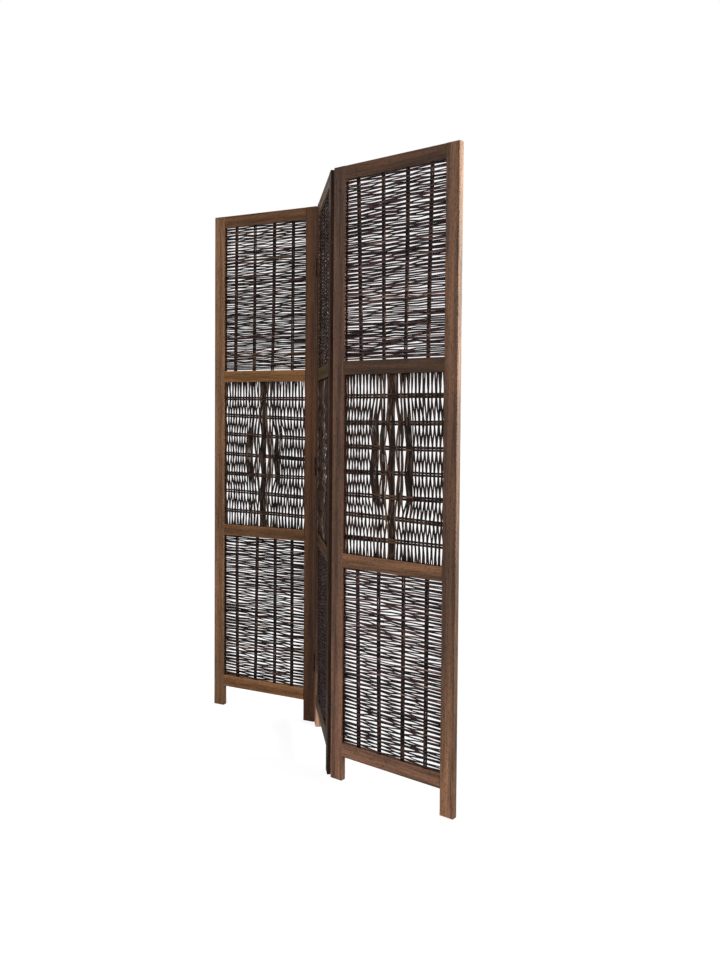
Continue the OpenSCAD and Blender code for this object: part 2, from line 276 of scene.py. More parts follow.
@dataclass(frozen=True)
class Drift:
    """A smooth random shift of a field's withies, in sine waves of about these lengths."""

    size: float
    length_x: float
    length_z: float
    waves: int = 6

    def at(self, seed: int, x: np.ndarray, z: np.ndarray) -> np.ndarray:
        """Sums size / sqrt(waves) * sin(2 pi (f x + g z) + start) over the waves.

        Args:
            seed: Seed of each wave's direction, length and start.
            x: Places across the panel.
            z: Heights.

        Returns:
            The shift at each point.
        """
        rng = np.random.default_rng(seed)
        f = rng.normal(0, 1, (self.waves, 1, 1)) / self.length_x
        g = rng.normal(0, 1, (self.waves, 1, 1)) / self.length_z
        start = rng.uniform(0, 2 * np.pi, (self.waves, 1, 1))
        waves = np.sin(2 * np.pi * (f * x + g * z) + start)
        return waves.sum(0) * self.size / math.sqrt(self.waves)


@dataclass
class Strands:
    """Lengths of willow, as centre lines with a width and a thickness at each ring.

    line has the shape (lengths, rings, 3), in the panel's own frame. wide and thick have the
    shape (lengths, rings), and tone has one value a length, from 0 to 1, that its bark's
    colour follows. The width lies along across, and each ring has so many sides. Each length
    begins further along the bark than the one before by apart.
    """

    line: np.ndarray
    wide: np.ndarray
    thick: np.ndarray
    tone: np.ndarray
    across: np.ndarray
    sides: int = 6
    apart: float = 1.7

    def points(self) -> np.ndarray:
        """Carries an oval section along each centre line.

        The section's width is squared up to the line, and its thickness lies along the cross
        product of line and width. A point at the angle a is
        centre + cos(a) wide/2 + sin(a) thick/2.

        Returns:
            Points of the shape (lengths, rings, sides, 3).
        """
        along = np.gradient(self.line, axis=1)
        along /= np.linalg.norm(along, axis=-1, keepdims=True)
        width = self.across - (along @ self.across)[..., None] * along
        width /= np.linalg.norm(width, axis=-1, keepdims=True)
        depth = np.cross(along, width)
        angle = 2 * np.pi * np.arange(self.sides) / self.sides
        half_w = (self.wide[..., None] / 2 * np.cos(angle))[..., None]
        half_t = (self.thick[..., None] / 2 * np.sin(angle))[..., None]
        return self.line[:, :, None] + half_w * width[:, :, None] + half_t * depth[:, :, None]

    def faces(self) -> tuple[list[list[int]], np.ndarray]:
        """Numbers the faces, and maps their corners to their places on the bark.

        Face (r, s) takes the points s and s + 1 of ring r and of ring r + 1, and each length's
        first and last rings close it. A corner's place is its distance along the bark and its
        share of the way round.

        Returns:
            The faces, those that close the lengths last, and the corners' places.
        """
        lengths, rings = self.line.shape[:2]
        steps = np.linalg.norm(np.diff(self.line, axis=1), axis=-1)
        run = np.pad(np.cumsum(steps, axis=1), ((0, 0), (1, 0)))
        run = run + self.apart * np.arange(lengths)[:, None]
        here = np.arange(self.sides)
        start = np.arange(lengths)[:, None] * rings * self.sides
        ring = np.arange(rings - 1)[:, None, None] + (0, 0, 1, 1)
        side = here[:, None] + (0, 1, 1, 0)
        quads = start[..., None, None] + ring * self.sides + side % self.sides
        places = np.broadcast_arrays(run[:, ring], side / self.sides, quads)[:2]
        ends = np.concatenate([start + here[::-1], start + (rings - 1) * self.sides + here])
        end_run = np.repeat(np.concatenate([run[:, 0], run[:, -1]]), self.sides)
        end_places = np.stack([end_run, np.tile(here / self.sides, 2 * lengths)], -1)
        places = np.concatenate([np.stack(places, -1).reshape(-1, 2), end_places])
        return quads.reshape(-1, 4).tolist() + ends.tolist(), places

    def grow(self, name: str, place: Standing) -> Object:
        """Makes one object of the lengths, with the bark map and each one's tone.

        Args:
            name: Name of the object.
            place: Where the panel stands.

        Returns:
            The object, which sits at the origin with its place in its mesh.
        """
        lengths, rings = self.line.shape[:2]
        faces, corners = self.faces()
        mesh = bpy.data.meshes.new(name)
        mesh.from_pydata(place.stand(self.points()).reshape(-1, 3), [], faces)
        bark = mesh.uv_layers.new(name="bark")
        bark.uv.foreach_set("vector", corners.astype(np.float32).ravel())
        tones = np.repeat(self.tone, rings * self.sides).astype(np.float32)
        mesh.attributes.new("tone", "FLOAT", "POINT").data.foreach_set("value", tones)
        smooth = np.arange(len(faces)) < len(faces) - 2 * lengths
        mesh.polygons.foreach_set("use_smooth", smooth)
        mesh.update()
        piece = bpy.data.objects.new(name, mesh)
        bpy.context.scene.collection.objects.link(piece)
        return piece


# ---- shader building ----


class Bench:
    """Adds nodes to one tree and wires them."""

    def __init__(self, tree: NodeTree) -> None:
        """Starts on a tree."""
        self.tree = tree

    def feed(self, node: Node, sockets: Sockets) -> Node:
        """Wires a node's inputs to outputs, or sets them to plain values.

        Args:
            node: The node.
            sockets: Outputs or values for its inputs, by name or number.

        Returns:
            The node.
        """
        for key, value in sockets.items():
            if isinstance(value, NodeSocket):
                self.tree.links.new(value, node.inputs[key])
            else:
                node.inputs[key].default_value = value
        return node

    def add(self, kind: str, sockets: Sockets | None = None, **settings: object) -> Node:
        """Adds a node.

        Args:
            kind: The node's type, without ShaderNode before it.
            sockets: Outputs or values for its inputs, by name or number.
            **settings: Its other settings.

        Returns:
            The node.
        """
        node = self.tree.nodes.new(f"ShaderNode{kind}")
        for key, value in settings.items():
            setattr(node, key, value)
        return self.feed(node, sockets or {})

    def sum(self, operation: str, first: object, second: object = 0.0) -> NodeSocket:
        """Works out one sum on numbers."""
        return self.add("Math", {0: first, 1: second}, operation=operation).outputs[0]

    def vector(self, operation: str, first: object, second: object) -> NodeSocket:
        """Works out one sum on vectors."""
        node = self.add("VectorMath", {0: first, 1: second}, operation=operation)
        return node.outputs[0]

    def noise(
        self, place: object, stretch: Triple, scale: object, detail: float = 2.0, rough: float = 0.5
    ) -> NodeSocket:
        """Adds noise of about 0.3 to 0.7, with scale lumps a metre, read at a stretched place."""
        read = {"Vector": self.vector("MULTIPLY", place, stretch), "Scale": scale}
        return self.add("TexNoise", {**read, "Detail": detail, "Roughness": rough}).outputs[0]

    def band(
        self, value: object, low: float, high: float, to_low: float = 0.0, to_high: float = 1.0
    ) -> NodeSocket:
        """Maps the values from low to high onto those from to_low to to_high, held at the ends."""
        values = {0: value, 1: low, 2: high, 3: to_low, 4: to_high}
        return self.add("MapRange", values).outputs[0]

    def blend(self, amount: object, first: object, second: object) -> NodeSocket:
        """Mixes two colours, with so much of the second."""
        sockets = {0: amount, 6: first, 7: second}
        return self.add("Mix", sockets, data_type="RGBA").outputs[2]

    def bump(self, height: NodeSocket, strength: float, distance: float) -> NodeSocket:
        """Turns a height into a normal."""
        sockets = {"Strength": strength, "Distance": distance, "Height": height}
        return self.add("Bump", sockets).outputs[0]

    def group(self, tree: NodeTree, sockets: Sockets) -> Outputs:
        """Adds a shader group and gives its outputs."""
        return self.add("Group", sockets, node_tree=tree).outputs

    def ramp(self, value: object, stops: list[tuple[float, Colour]]) -> NodeSocket:
        """Adds a colour ramp.

        Args:
            value: What it reads.
            stops: Its places and colours, in order.

        Returns:
            The colour's output.
        """
        node = self.add("ValToRGB", {0: value})
        marks = node.color_ramp.elements
        for _ in stops[2:]:
            marks.new(0.5)
        for mark, (place, colour) in zip(marks, stops):
            mark.position = place
            mark.color = colour
        return node.outputs[0]


def begin_group(name: str, takes: Names, gives: Names) -> tuple[Bench, Outputs, Node]:
    """Begins a shader group that takes a vector and numbers, and gives numbers.

    Args:
        name: The group's name.
        takes: Names of the numbers that it takes.
        gives: Names of the numbers that it gives.

    Returns:
        A bench on the group, what it is given, and its output node.
    """
    tree = bpy.data.node_groups.new(name, "ShaderNodeTree")
    tree.interface.new_socket(name="Vector", in_out="INPUT", socket_type="NodeSocketVector")
    for in_out, labels in (("INPUT", takes), ("OUTPUT", gives)):
        for label in labels:
            tree.interface.new_socket(name=label, in_out=in_out, socket_type="NodeSocketFloat")
    return Bench(tree), tree.nodes.new("NodeGroupInput").outputs, tree.nodes.new("NodeGroupOutput")


class Effects:
    """The shader groups that the finishes share, each built once.

    The shares say how much of a tone or a height each of its patterns makes up.
    """

    RING_SHARE = 0.24
    CLOUD_SHARE = 0.30
    FIBRE_SHARE = 0.46
    STREAK_SHARE = 0.6
    PATCH_SHARE = 0.4
    WRINKLE_SHARE = 0.8

    def __init__(self) -> None:
        """Builds the groups."""
        self.grain = self.make_grain()
        self.edges = self.make_edge_wear_and_highlight()
        self.bark = self.make_bark()

    def make_grain(self) -> NodeTree:
        """Builds wood grain that runs along Z.

        Growth rings are wavy bands across X, stretched along the grain. Fibres are fine
        stretched noise, and flecks are short dark pores.

        Returns:
            The group.
        """
        gives = ("Tone", "Flecks", "Height")
        bench, given, result = begin_group("wood_grain", ("Rings", "Fibres"), gives)
        place = given["Vector"]
        waves = {
            "Vector": bench.vector("MULTIPLY", place, (1.0, 0.6, 0.05)),
            "Scale": given["Rings"],
            "Distortion": 9.0,
            "Detail": 2.0,
            "Detail Scale": 0.35,
        }
        rings = bench.add("TexWave", waves).outputs["Fac"]
        cloud = bench.noise(place, (1.0, 1.0, 0.09), 38.0)
        fibre = bench.noise(place, (1.0, 1.0, 0.03), given["Fibres"], 3.0, 0.6)
        fleck = bench.noise(place, (1.0, 1.0, 0.16), 640.0, 1.0)
        ring_part = bench.sum("MULTIPLY", rings, self.RING_SHARE)
        cloud_part = bench.band(cloud, 0.3, 0.7, 0.0, self.CLOUD_SHARE)
        fibre_part = bench.band(fibre, 0.32, 0.68, 0.0, self.FIBRE_SHARE)
        tone = bench.sum("ADD", bench.sum("ADD", ring_part, cloud_part), fibre_part)
        pores = bench.band(fleck, 0.56, 0.68)
        height = bench.sum("SUBTRACT", bench.sum("ADD", fibre_part, ring_part), pores)
        bench.feed(result, {"Tone": tone, "Flecks": pores, "Height": height})
        return bench.tree

    def make_edge_wear_and_highlight(self) -> NodeTree:
        """Builds a mask of the long edges of a straight member, uneven, for their wear and a painted
        highlight along them.

        The member's section lies on X and Y, folded about its middle. How far a point is
        from an edge is the larger of its distances inwards from the two faces.

        Returns:
            The group.
        """
        bench, given, result = begin_group("worn_and_highlit_edges", ("Half Width", "Half Depth", "Reach"), ("Mask",))
        split = bench.add("SeparateXYZ", {0: given["Vector"]}).outputs
        in_x = bench.sum("SUBTRACT", given["Half Width"], bench.sum("ABSOLUTE", split[0]))
        in_y = bench.sum("SUBTRACT", given["Half Depth"], bench.sum("ABSOLUTE", split[1]))
        inwards = bench.sum("MAXIMUM", in_x, in_y)
        near = bench.sum("SUBTRACT", 1.0, bench.sum("DIVIDE", inwards, given["Reach"]))
        rub = bench.noise(given["Vector"], (1.0, 1.0, 0.25), 90.0, 3.0, 0.6)
        mask = bench.sum("MULTIPLY", bench.band(near, 0.0, 1.0), bench.band(rub, 0.35, 0.65))
        bench.feed(result, {"Mask": mask})
        return bench.tree

    def make_bark(self) -> NodeTree:
        """Builds dried willow bark from a bark map: streaks along it, patches and wrinkles.

        Returns:
            The group.
        """
        gives = ("Shade", "Patches", "Height")
        bench, given, result = begin_group("willow_bark", ("Girth", "Tone"), gives)
        split = bench.add("SeparateXYZ", {0: given["Vector"]}).outputs
        girth = bench.sum("MULTIPLY", split[1], given["Girth"])
        place = bench.add("CombineXYZ", {0: split[0], 1: girth, 2: given["Tone"]}).outputs[0]
        streak = bench.noise(place, (0.04, 1.0, 1.0), 900.0, 3.0, 0.6)
        patch = bench.noise(place, (0.3, 1.0, 1.0), 90.0)
        wrinkle = bench.noise(place, (0.5, 1.0, 1.0), 420.0)
        streak_part = bench.band(streak, 0.3, 0.7, 0.0, self.STREAK_SHARE)
        shade = bench.sum("ADD", streak_part, bench.band(patch, 0.35, 0.65, 0.0, self.PATCH_SHARE))
        height = bench.sum("ADD", streak, bench.sum("MULTIPLY", wrinkle, self.WRINKLE_SHARE))
        patches = bench.band(patch, 0.5, 0.62)
        bench.feed(result, {"Shade": shade, "Patches": patches, "Height": height})
        return bench.tree


def clear_bench(owner: Material | World) -> Bench:
    """Clears the nodes of a material or a world.

    Args:
        owner: The material or world.

    Returns:
        A bench on its tree.
    """
    owner.use_nodes = True
    owner.node_tree.nodes.clear()
    return Bench(owner.node_tree)


def begin_material(name: str) -> tuple[Material, Bench, Node, Outputs]:
    """Begins a material with its shader wired to its output.

    Args:
        name: The material's name.

    Returns:
        The material, a bench on it, its shader, and the outputs of its coordinates.
    """
    material = bpy.data.materials.new(name)
    bench = clear_bench(material)
    shader = bench.add("BsdfPrincipled")
    bench.add("OutputMaterial", {0: shader.outputs[0]})
    return material, bench, shader, bench.add("TexCoord").outputs


@dataclass(frozen=True)
class StainAndLight:
    """One member's colour, part stain and part painted light and shade, and how light it is at even steps
    from foot to top, which paints light and shade along it as well as its tone.
    """

    red: int
    green: int
    blue: int
    tone_and_painted_light: Floats = (1.0, 1.0)

    def stops(self) -> list[tuple[float, Colour]]:
        """Gives the places from 0 to 1 and the colours from foot to top, with their painted light and
        shade, for a ramp.
        """
        places = np.linspace(0, 1, len(self.tone_and_painted_light)).tolist()
        return [(p, tint(self.red, self.green, self.blue, s)) for p, s in zip(places, self.tone_and_painted_light)]


class GrainWay(Enum):
    """How a member's grain runs: the turn that lays it along Z, and the width across it."""

    UP = (0.0, FRAME.stile_w)
    ACROSS = (-90.0, FRAME.rail_h)


@dataclass(frozen=True)
class Member:
    """How a stile, rail or dowel lies: its panel, its grain and its middle."""

    place: Standing
    way: GrainWay
    centre: Vector

    def lay(self) -> Matrix:
        """Gives the turn and shift that lay the member's grain along Z and its middle at 0."""
        turned = Matrix.Rotation(math.radians(self.way.value[0]), 4, "Y")
        return turned @ Matrix.Translation(-self.centre) @ self.place.lay()

    def cut(self, spread: float = 7.0, apart: float = 3.0) -> Triple:
        """Gives where in the grain the member is cut, spread out so that none repeats another."""
        return tuple(self.centre * spread + Vector((self.place.middle[0] * apart, 0, 0)))


@dataclass(frozen=True)
class WoodFinish:
    """Softwood with a brown stain under a satin varnish.

    dark and light are how far the stain's darkest and lightest streaks are from its middle,
    pore how dark a pore is, and worn how light a rubbed edge is, which paints a highlight
    along the eased edges as well as their wear, all as factors.
    """

    dark: float = 0.45
    light: float = 1.65
    pore: float = 0.45
    worn: float = 1.9
    rings: float = 9.0
    fibres: float = 340.0
    edge_reach: float = 1.6 * MM
    gloss: float = 0.22
    relief: float = 0.3 * MM

    def material(self, name: str, effects: Effects, member: Member, own: StainAndLight) -> Material:
        """Builds the stain, with painted light and shade, for one member, with its grain laid along it.

        Args:
            name: The material's name.
            effects: The shared shader groups.
            member: How the member lies.
            own: Its stain, with painted light and shade.

        Returns:
            The material.
        """
        material, bench, shader, coordinates = begin_material(name)
        lay = member.lay()
        mapping = {
            "Vector": coordinates["Object"],
            "Location": lay.to_translation(),
            "Rotation": lay.to_euler(),
        }
        vector = bench.add("Mapping", mapping).outputs[0]
        cut = bench.vector("ADD", vector, member.cut())
        grain = bench.group(effects.grain, {"Vector": cut, "Rings": self.rings, "Fibres": self.fibres})
        section = {
            "Vector": vector,
            "Half Width": member.way.value[1] / 2,
            "Half Depth": FRAME.frame_t / 2,
            "Reach": self.edge_reach,
        }
        edges = bench.group(effects.edges, section)
        along = bench.add("SeparateXYZ", {0: vector}).outputs[2]
        # the member's colour up its length: its stain, with painted light and shade
        middle = bench.ramp(bench.band(along, 0.0, FRAME.panel_h), own.stops())
        tone = bench.band(grain["Tone"], 0.2, 0.8, self.dark, self.light)
        pores = bench.band(grain["Flecks"], 0.0, 1.0, 1.0, self.pore)
        # edges painted lighter: part wear, part painted highlight
        rubbed = bench.band(edges["Mask"], 0.0, 1.0, 1.0, self.worn)
        factor = bench.sum("MULTIPLY", bench.sum("MULTIPLY", tone, pores), rubbed)
        look = {
            "Base Color": bench.vector("MULTIPLY", middle, factor),
            "Roughness": bench.band(grain["Height"], -0.5, 0.6, 0.62, 0.44),
            "Specular IOR Level": self.gloss,
            "Normal": bench.bump(grain["Height"], 0.3, self.relief),
        }
        bench.feed(shader, look)
        return material


@dataclass(frozen=True)
class BarkFinish:
    """Dried willow in its bark: each length takes a colour of its own along the range.

    dark and light are how far its darkest and lightest streaks are from that colour, and
    patch is how much of the pale colour shows where the bark is rubbed.
    """

    name: str
    colours: tuple[tuple[float, Colour], ...]
    pale: Colour
    patch: float
    girth: float = 11 * MM
    dark: float = 0.5
    light: float = 1.5
    gloss: float = 0.1
    relief: float = 0.25 * MM

    def material(self, effects: Effects) -> Material:
        """Builds the bark.

        Args:
            effects: The shared shader groups.

        Returns:
            The material.
        """
        material, bench, shader, coordinates = begin_material(self.name)
        tone = bench.add("Attribute", attribute_name="tone").outputs["Fac"]
        bark = bench.group(effects.bark, {"Vector": coordinates["UV"], "Girth": self.girth, "Tone": tone})
        streaks = bench.band(bark["Shade"], 0.1, 0.9, self.dark, self.light)
        skin = bench.vector("MULTIPLY", bench.ramp(tone, list(self.colours)), streaks)
        rubbed = bench.sum("MULTIPLY", bark["Patches"], self.patch)
        look = {
            "Base Color": bench.blend(rubbed, skin, self.pale),
            "Roughness": bench.band(bark["Shade"], 0.2, 0.8, 0.72, 0.5),
            "Specular IOR Level": self.gloss,
            "Normal": bench.bump(bark["Height"], 0.5, self.relief),
        }
        bench.feed(shader, look)
        return material


@dataclass(frozen=True)
class MetalFinish:
    """Browned steel, rubbed brighter in patches and scratched along Z."""

    name: str
    dull: Colour
    bright: Colour
    rough: float = 0.42
    smoother: float = 0.1
    rougher: float = 0.12
    relief: float = 0.1 * MM

    def material(self) -> Material:
        """Builds the metal.

        Returns:
            The material.
        """
        material, bench, shader, coordinates = begin_material(self.name)
        cloud = bench.noise(coordinates["Object"], (1.0, 1.0, 1.0), 160.0, 4.0, 0.6)
        scratch = bench.noise(coordinates["Object"], (1.0, 1.0, 0.08), 1400.0)
        worn = bench.band(cloud, 0.45, 0.68)
        smooth, coarse = self.rough - self.smoother, self.rough + self.rougher
        look = {
            "Base Color": bench.blend(worn, self.dull, self.bright),
            "Roughness": bench.band(scratch, 0.3, 0.7, smooth, coarse),
            "Metallic": 1.0,
            "Normal": bench.bump(scratch, 0.2, self.relief),
        }
        bench.feed(shader, look)
        return material


def dress(node: str, material: Material) -> None:
    """Gives a built node its finish.

    Args:
        node: The node's name.
        material: Its finish.
    """
    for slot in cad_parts[node].material_slots:
        slot.material = material
    log.info("dressed %s with %s", node, material.name)


# ---- the screen ----


@dataclass(frozen=True)
class Joinery:
    """One panel's stiles, rails and dowels, with the stain and painted light and shade of each by its
    name.
    """

    place: Standing
    finish: WoodFinish
    stains_and_light: dict[str, StainAndLight]
    stile_x: float = (FRAME.panel_w - FRAME.stile_w) / 2

    def member(self, node: str) -> Member:
        """Finds how a stile or rail lies.

        Args:
            node: The node's name.

        Returns:
            The member, in its panel's frame.
        """
        centre = middle_of(node)
        if node.endswith("_rail"):
            return Member(self.place, GrainWay.ACROSS, Vector((0, 0, centre.z)))
        x = math.copysign(self.stile_x, (self.place.lay() @ centre).x)
        return Member(self.place, GrainWay.UP, Vector((x, 0, 0)))

    def dress(self, effects: Effects, dowel: Material) -> None:
        """Lays the grain up each stile and along each rail.

        Args:
            effects: The shared shader groups.
            dowel: Finish of the dowels.
        """
        for kind, own in self.stains_and_light.items():
            node = f"{self.place.wing.value}_{kind}"
            dress(node, self.finish.material(f"stain_and_light_{node}", effects, self.member(node), own))
        dress(f"{self.place.wing.value}_dowels", dowel)


@dataclass(frozen=True)
class Weave:
    """What both kinds of woven field share. tones is the range of its withies' tones."""

    place: Standing
    bay: Bay
    seed: int
    tones: Pair

    @property
    def low(self) -> float:
        """Height of the opening's bottom, where the rail below it ends."""
        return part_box(f"{self.place.wing.value}_{self.bay.value[1]}")[1].z

    @property
    def high(self) -> float:
        """Height of the opening's top, where the rail above it begins."""
        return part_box(f"{self.place.wing.value}_{self.bay.value[2]}")[0].z

    def finish(self, willow: Willow, strands: Strands, barks: dict[str, Material]) -> None:
        """Grows one node's piece and lets it take the node's place.

        Args:
            willow: The kind of node.
            strands: The lengths in the panel's frame.
            barks: The willow finishes by slot.
        """
        kind, slot = willow.value
        node = f"{self.place.wing.value}_{self.bay.value[0]}_{kind}"
        piece = strands.grow(f"woven_{node}", self.place)
        piece.data.materials.append(barks[slot])
        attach(piece, self.place.body)
        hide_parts(node)
        log.info("%s: %d lengths, %d faces", piece.name, len(strands.tone), len(piece.data.polygons))


def crest_marks(pairs: np.ndarray, half: float, reach: float) -> tuple[np.ndarray, np.ndarray]:
    """Sets out the rings of lengths that pass over one side of each rod pair in turn.

    Each pair has a ring half its width before it and one as far after it, both on the crest,
    and a ring stands in the middle of each span.

    Args:
        pairs: Places of the pairs, of the shape (lengths, pairs).
        half: Half the width of a pair.
        reach: How far the lengths run from 0 to both ends.

    Returns:
        Place of each ring, and its side from -1 to 1 for a length that is at 1 over the first
        pair.
    """
    lengths, count = pairs.shape
    end = np.full(lengths, reach)
    places, sides = [-end], [0.0]
    for k in range(count):
        after = (pairs[:, k] + pairs[:, k + 1]) / 2 if k < count - 1 else end
        places += [pairs[:, k] - half, pairs[:, k] + half, after]
        sides += [(-1.0) ** k, (-1.0) ** k, 0.0]
    return np.stack(places, 1), np.broadcast_to(np.array(sides), (lengths, len(sides)))


def tapered(rng: np.random.Generator, shape: tuple[int, int], size: float, spread: float) -> np.ndarray:
    """Draws how thick each length is at each ring.

    It is size times the length's own factor, narrows from its butt, at either end, to its
    tip, and swells and shrinks a little on the way.

    Args:
        rng: The seeded source.
        shape: How many lengths there are, and the rings in each.
        size: The usual thickness.
        spread: How far the lengths differ.

    Returns:
        The thickness.
    """
    own = np.clip(rng.normal(1.0, spread, (shape[0], 1)), *WILLOW.own_sizes)
    way = rng.choice([-1.0, 1.0], (shape[0], 1))
    taper = 1 + WILLOW.taper * way * np.linspace(-1, 1, shape[1])
    return size * own * (taper + rng.normal(0, WILLOW.lumps, shape))


def centred(count: int) -> np.ndarray:
    """Counts in steps of one, evenly either side of 0."""
    return np.arange(count) - (count - 1) / 2


def both_sides(places: np.ndarray, apart: float) -> np.ndarray:
    """Sets two lengths so far apart, on both sides of each place."""
    return np.concatenate([places - apart / 2, places + apart / 2])


def between(values: np.ndarray, row: np.ndarray, share: np.ndarray) -> np.ndarray:
    """Gives the values at a share of the way from each row to the next one."""
    return values[:, row] * (1 - share) + values[:, row + 1] * share


@dataclass(frozen=True)
class CrossField(Weave):
    """An upper or lower field: withies across standing rod pairs.

    at_foot and at_head are how far each pair strays sideways at the opening's bottom and top,
    in millimetres, and belly is how far it bows. A withy wanders from pair to pair and wavers
    from ring to ring. calm is how many withies next to a rail lie calmer, and restless is the
    share of its wandering that the first of them keeps. Withies are fuller than usual and
    differ in thickness by spread.
    """

    at_foot: Floats
    at_head: Floats
    drift: Drift = Drift(1.5 * MM, 0.16, 0.045)
    belly: float = 1.2 * MM
    rod_rings: int = 18
    rod_waver: float = 0.15 * MM
    wander: float = 0.75 * MM
    waver: float = 0.15 * MM
    calm: int = 4
    restless: float = 0.35
    fullness: float = 1.02
    spread: float = 0.10
    # the rods here are darker than in the middle field: painted shade where they stand among the withies
    rod_tones_and_painted_light: Pair = (0.0, 0.5)

    def pair_places(self, heights: np.ndarray) -> np.ndarray:
        """Gives where the rod pairs are at given heights, as each leans and bows a little.

        x = place + foot (1 - h) + head h + bow sin(pi h), with h from 0 at the opening's
        bottom to 1 at its top.

        Args:
            heights: Heights above the floor.

        Returns:
            Places of the shape (heights, pairs).
        """
        bow = np.random.default_rng(self.seed).normal(0, self.belly, WILLOW.upright_pair_count)
        place = centred(WILLOW.upright_pair_count) * WILLOW.upright_pair_spacing
        h = ((heights - self.low) / (self.high - self.low))[:, None]
        foot, head = np.array(self.at_foot) * MM, np.array(self.at_head) * MM
        return place + foot * (1 - h) + head * h + bow * np.sin(np.pi * h)

    def rods(self) -> Strands:
        """Lays out both rods of each pair.

        Returns:
            The rods.
        """
        rng = np.random.default_rng(self.seed + 1)
        heights = np.linspace(self.low - FRAME.seat_len, self.high + FRAME.seat_len, self.rod_rings)
        xs = both_sides(self.pair_places(heights).T, WILLOW.upright_pair_gap + WILLOW.rod_d)
        xs = xs + rng.normal(0, self.rod_waver, xs.shape)
        line = np.stack([xs, np.zeros_like(xs), np.broadcast_to(heights, xs.shape)], -1)
        thick = tapered(rng, xs.shape, WILLOW.rod_d, WILLOW.rod_spread)
        tone = rng.uniform(*self.rod_tones_and_painted_light, len(xs))
        return Strands(line, thick, thick, tone, RIGHT, sides=8)

    def withies(self) -> Strands:
        """Lays out the withies, each on the other side of the rods from its neighbours.

        Neighbours drift up and down together, which crowds them in one place and opens them
        in another, and each also strays by itself. The two rings of a crest stray as one.

        Returns:
            The withies.
        """
        rng = np.random.default_rng(self.seed + 2)
        pitch = WILLOW.cross_withy_w + WILLOW.cross_withy_gap
        count = int((self.high - self.low - WILLOW.cross_withy_gap) // pitch)
        level = (self.low + self.high) / 2 + centred(count) * pitch
        half = WILLOW.upright_pair_gap / 2 + WILLOW.rod_d
        xs, side = crest_marks(self.pair_places(level), half, FRAME.reach)
        thick = tapered(rng, xs.shape, WILLOW.withy_t, self.spread)
        wide = self.fullness * thick * WILLOW.cross_withy_w / WILLOW.withy_t
        first = ((-1.0) ** np.arange(count))[:, None]
        ys = first * side * (WILLOW.rod_d / 2 + WILLOW.snug + thick / 2)
        from_rail = np.minimum(level - self.low, self.high - level) - pitch / 2
        hold = np.clip(from_rail / (self.calm * pitch), 0, 1)[:, None]
        drift = self.drift.at(self.seed + 3, xs, level[:, None])
        ring = np.arange(xs.shape[1])
        own = ring - (ring + 1) // 3
        stray = rng.normal(0, self.wander, (count, own[-1] + 1))[:, own]
        stray = stray + rng.normal(0, self.waver, xs.shape)
        zs = level[:, None] + hold * drift + stray * np.minimum(1, hold + self.restless)
        tone = rng.uniform(*self.tones, count)
        return Strands(np.stack([xs, ys, zs], -1), wide, thick, tone, UP)


